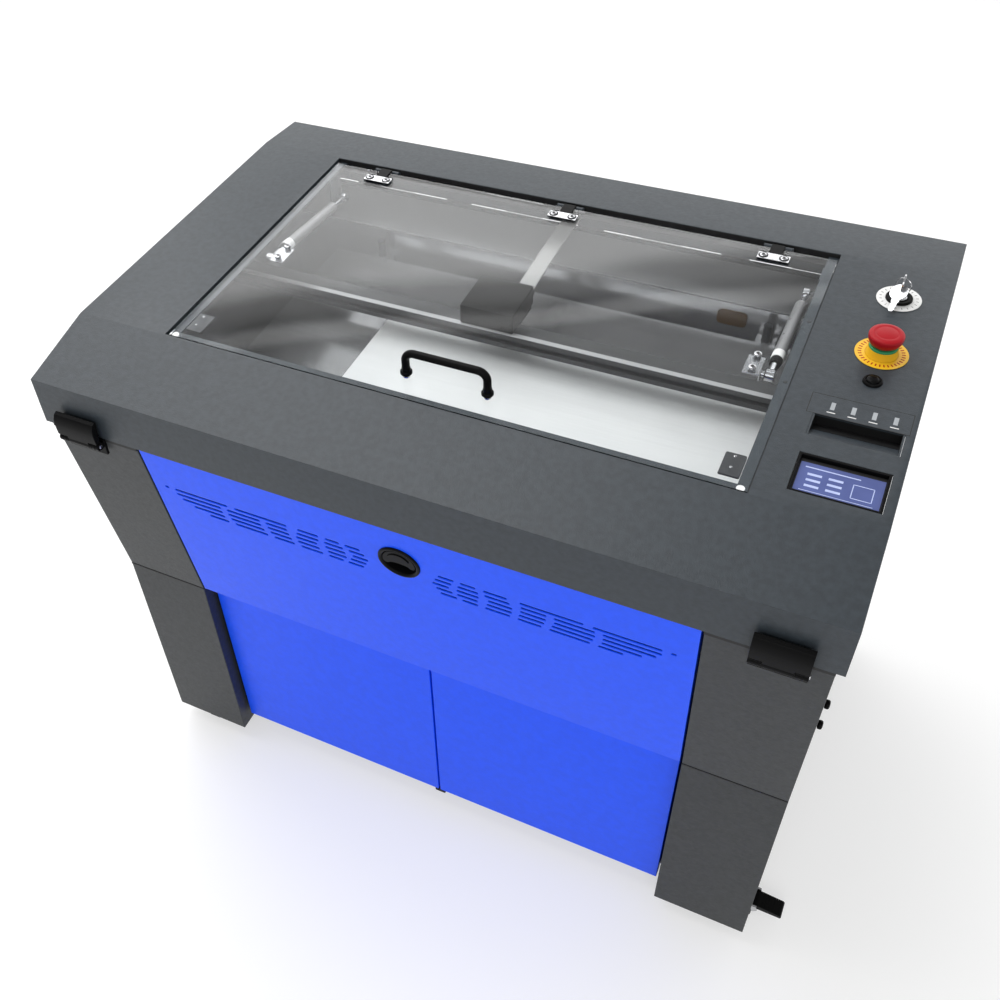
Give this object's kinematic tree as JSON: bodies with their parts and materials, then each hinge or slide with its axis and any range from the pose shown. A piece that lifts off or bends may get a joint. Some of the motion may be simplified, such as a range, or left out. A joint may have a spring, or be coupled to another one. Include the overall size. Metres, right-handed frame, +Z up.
{
  "type": "laser cutter",
  "caption": "Floor-standing laser cutting machine: tilting hood with clear hinged lid and control strip, drop-down vented front panel, cabinet doors, moving gantry, head and table, casters.",
  "frame": {"origin": "on the floor, under the centre of the bounding box", "axes": "+Z up, front of the machine faces -Y, +X to the right seen from the front"},
  "size_m": [1.094, 0.7175, 0.8768],
  "materials": {
    "charcoal": "fine textured powder coat, dark grey",
    "blue": "smooth blue powder coat",
    "black_plastic": "moulded black plastic",
    "dark_steel": "black zinc or painted steel",
    "steel": "bright zinc-plated steel",
    "aluminium": "brushed aluminium",
    "clear": "clear acrylic sheet",
    "yellow": "yellow label and collar",
    "red": "red mushroom button",
    "screen": "lit display",
    "rubber": "grey-black rubber tread"
  },
  "bodies": {
    "cabinet": {"base_pan": "dark_steel", "side_panel_left": "charcoal", "side_panel_right": "charcoal", "rear_panel": "charcoal", "mains_inlet": "black_plastic", "upper_pillar_left": "charcoal", "upper_pillar_right": "charcoal", "lower_pillar_left": "charcoal", "lower_pillar_right": "charcoal", "latch_base_left": "black_plastic", "latch_base_right": "black_plastic", "hood_hinge": "dark_steel", "chamber_tub": "dark_steel", "table_guide": "steel", "y_rail_left": "steel", "y_rail_right": "steel", "laser_source": "aluminium", "electronics_box": "steel"},
    "latch_lever_left": {"latch_lever_left": "black_plastic"},
    "latch_lever_right": {"latch_lever_right": "black_plastic"},
    "hood": {"hood_shell": "charcoal", "latch_keeper_left": "black_plastic", "latch_keeper_right": "black_plastic", "screen_bezel": "black_plastic", "screen_panel": "screen", "status_panel": "charcoal", "key_switch": "black_plastic", "estop_base": "yellow"},
    "key": {"key": "steel"},
    "estop_button": {"estop_button": "red"},
    "start_button": {"start_button": "black_plastic"},
    "lid": {"acrylic_lid": "clear", "lid_handle": "black_plastic", "lid_hinge_1": "steel", "lid_hinge_2": "steel", "lid_hinge_3": "steel", "strut_bracket_left": "steel", "strut_bracket_right": "steel"},
    "strut_rod_left": {"strut_rod_left": "steel"},
    "strut_rod_right": {"strut_rod_right": "steel"},
    "strut_cylinder_left": {"strut_cylinder_left": "dark_steel"},
    "strut_cylinder_right": {"strut_cylinder_right": "dark_steel"},
    "front_panel": {"front_panel": "blue", "panel_latch_bezel": "black_plastic"},
    "panel_latch_paddle": {"panel_latch_paddle": "black_plastic"},
    "door_left": {"door_left": "blue"},
    "door_right": {"door_right": "blue"},
    "gantry": {"gantry_beam": "aluminium"},
    "laser_head": {"laser_head": "black_plastic"},
    "work_table": {"work_table": "aluminium"},
    "caster_fork_front_left": {"caster_fork_front_left": "steel"},
    "caster_wheel_front_left": {"caster_wheel_front_left": "rubber"},
    "caster_fork_front_right": {"caster_fork_front_right": "steel"},
    "caster_wheel_front_right": {"caster_wheel_front_right": "rubber"},
    "brake_pedal_front_right": {"brake_pedal_front_right": "black_plastic"},
    "caster_fork_rear_left": {"caster_fork_rear_left": "steel"},
    "caster_wheel_rear_left": {"caster_wheel_rear_left": "rubber"},
    "brake_pedal_rear_left": {"brake_pedal_rear_left": "black_plastic"},
    "caster_fork_rear_right": {"caster_fork_rear_right": "steel"},
    "caster_wheel_rear_right": {"caster_wheel_rear_right": "rubber"}
  },
  "joints": [
    {"name": "hood_lift", "type": "hinge", "parent": "cabinet", "child": "hood", "pos_m": [0, 0.346, 0.744], "axis": [-1, 0, 0], "range_deg": [0, 60]},
    {"name": "lid_open", "type": "hinge", "parent": "hood", "child": "lid", "pos_m": [0, 0.241, 0.836], "axis": [-1, 0, 0], "range_deg": [0, 75]},
    {"name": "strut_swing_left", "type": "hinge", "parent": "hood", "child": "strut_rod_left", "pos_m": [-0.3485, 0.205, 0.8], "axis": [-1, 0, 0], "range_deg": [0, 76]},
    {"name": "strut_extend_left", "type": "slide", "parent": "strut_rod_left", "child": "strut_cylinder_left", "axis": [0, -0.9946, 0.1042], "range_m": [0, 0.063]},
    {"name": "strut_swing_right", "type": "hinge", "parent": "hood", "child": "strut_rod_right", "pos_m": [0.3405, 0.205, 0.8], "axis": [-1, 0, 0], "range_deg": [0, 76]},
    {"name": "strut_extend_right", "type": "slide", "parent": "strut_rod_right", "child": "strut_cylinder_right", "axis": [0, -0.9946, 0.1042], "range_m": [0, 0.063]},
    {"name": "key_turn", "type": "hinge", "parent": "hood", "child": "key", "pos_m": [0.451, 0.176, 0.841], "axis": [0, 0, -1], "range_deg": [0, 90]},
    {"name": "estop_press", "type": "slide", "parent": "hood", "child": "estop_button", "axis": [0, 0, -1], "range_m": [0, 0.0035]},
    {"name": "start_press", "type": "slide", "parent": "hood", "child": "start_button", "axis": [0, 0, -1], "range_m": [0, 0.002], "stiffness_N_per_m": 400},
    {"name": "front_panel_open", "type": "hinge", "parent": "cabinet", "child": "front_panel", "pos_m": [0, -0.29333, 0.4165], "axis": [1, 0, 0], "range_deg": [0, 80]},
    {"name": "panel_latch_pull", "type": "hinge", "parent": "front_panel", "child": "panel_latch_paddle", "pos_m": [0, -0.32971, 0.69312], "axis": [-1, 0, 0], "range_deg": [0, 30], "stiffness_Nm_per_rad": 0.1},
    {"name": "door_open_left", "type": "hinge", "parent": "cabinet", "child": "door_left", "pos_m": [-0.362, -0.273, 0.233], "axis": [0, 0, -1], "range_deg": [0, 90]},
    {"name": "door_open_right", "type": "hinge", "parent": "cabinet", "child": "door_right", "pos_m": [0.362, -0.273, 0.233], "axis": [0, 0, 1], "range_deg": [0, 90]},
    {"name": "latch_release_left", "type": "hinge", "parent": "cabinet", "child": "latch_lever_left", "pos_m": [-0.447, -0.349, 0.738], "axis": [1, 0, 0], "range_deg": [0, 110]},
    {"name": "latch_release_right", "type": "hinge", "parent": "cabinet", "child": "latch_lever_right", "pos_m": [0.447, -0.349, 0.738], "axis": [1, 0, 0], "range_deg": [0, 110]},
    {"name": "gantry_travel", "type": "slide", "parent": "cabinet", "child": "gantry", "axis": [0, 1, 0], "range_m": [-0.26, 0.155]},
    {"name": "head_travel", "type": "slide", "parent": "gantry", "child": "laser_head", "axis": [1, 0, 0], "range_m": [-0.32, 0.38]},
    {"name": "table_lift", "type": "slide", "parent": "cabinet", "child": "work_table", "axis": [0, 0, 1], "range_m": [-0.118, 0.018]},
    {"name": "caster_swivel_front_left", "type": "hinge", "parent": "cabinet", "child": "caster_fork_front_left", "pos_m": [-0.438, -0.23, 0.071], "axis": [0, 0, 1], "continuous": true},
    {"name": "wheel_roll_front_left", "type": "hinge", "parent": "caster_fork_front_left", "child": "caster_wheel_front_left", "pos_m": [-0.438, -0.258, 0.03], "axis": [1, 0, 0], "continuous": true},
    {"name": "caster_swivel_front_right", "type": "hinge", "parent": "cabinet", "child": "caster_fork_front_right", "pos_m": [0.438, -0.23, 0.071], "axis": [0, 0, 1], "continuous": true},
    {"name": "wheel_roll_front_right", "type": "hinge", "parent": "caster_fork_front_right", "child": "caster_wheel_front_right", "pos_m": [0.466, -0.23, 0.03], "axis": [0, 1, 0], "continuous": true},
    {"name": "brake_press_front_right", "type": "hinge", "parent": "caster_fork_front_right", "child": "brake_pedal_front_right", "pos_m": [0.505, -0.23, 0.026], "axis": [0, 1, 0], "range_deg": [0, 12]},
    {"name": "caster_swivel_rear_left", "type": "hinge", "parent": "cabinet", "child": "caster_fork_rear_left", "pos_m": [-0.438, 0.262, 0.071], "axis": [0, 0, 1], "continuous": true},
    {"name": "wheel_roll_rear_left", "type": "hinge", "parent": "caster_fork_rear_left", "child": "caster_wheel_rear_left", "pos_m": [-0.466, 0.262, 0.03], "axis": [0, -1, 0], "continuous": true},
    {"name": "brake_press_rear_left", "type": "hinge", "parent": "caster_fork_rear_left", "child": "brake_pedal_rear_left", "pos_m": [-0.505, 0.262, 0.026], "axis": [0, -1, 0], "range_deg": [0, 12]},
    {"name": "caster_swivel_rear_right", "type": "hinge", "parent": "cabinet", "child": "caster_fork_rear_right", "pos_m": [0.438, 0.262, 0.071], "axis": [0, 0, 1], "continuous": true},
    {"name": "wheel_roll_rear_right", "type": "hinge", "parent": "caster_fork_rear_right", "child": "caster_wheel_rear_right", "pos_m": [0.46094, 0.27806, 0.03], "axis": [-0.5736, 0.8192, 0], "continuous": true}
  ],
  "couplings": [
    {"joint": "strut_swing_left", "follows": "lid_open", "ratio": 1.0046},
    {"joint": "strut_extend_left", "follows": "lid_open", "m_per_rad": 0.047341},
    {"joint": "strut_swing_right", "follows": "lid_open", "ratio": 1.0046},
    {"joint": "strut_extend_right", "follows": "lid_open", "m_per_rad": 0.047341}
  ]
}
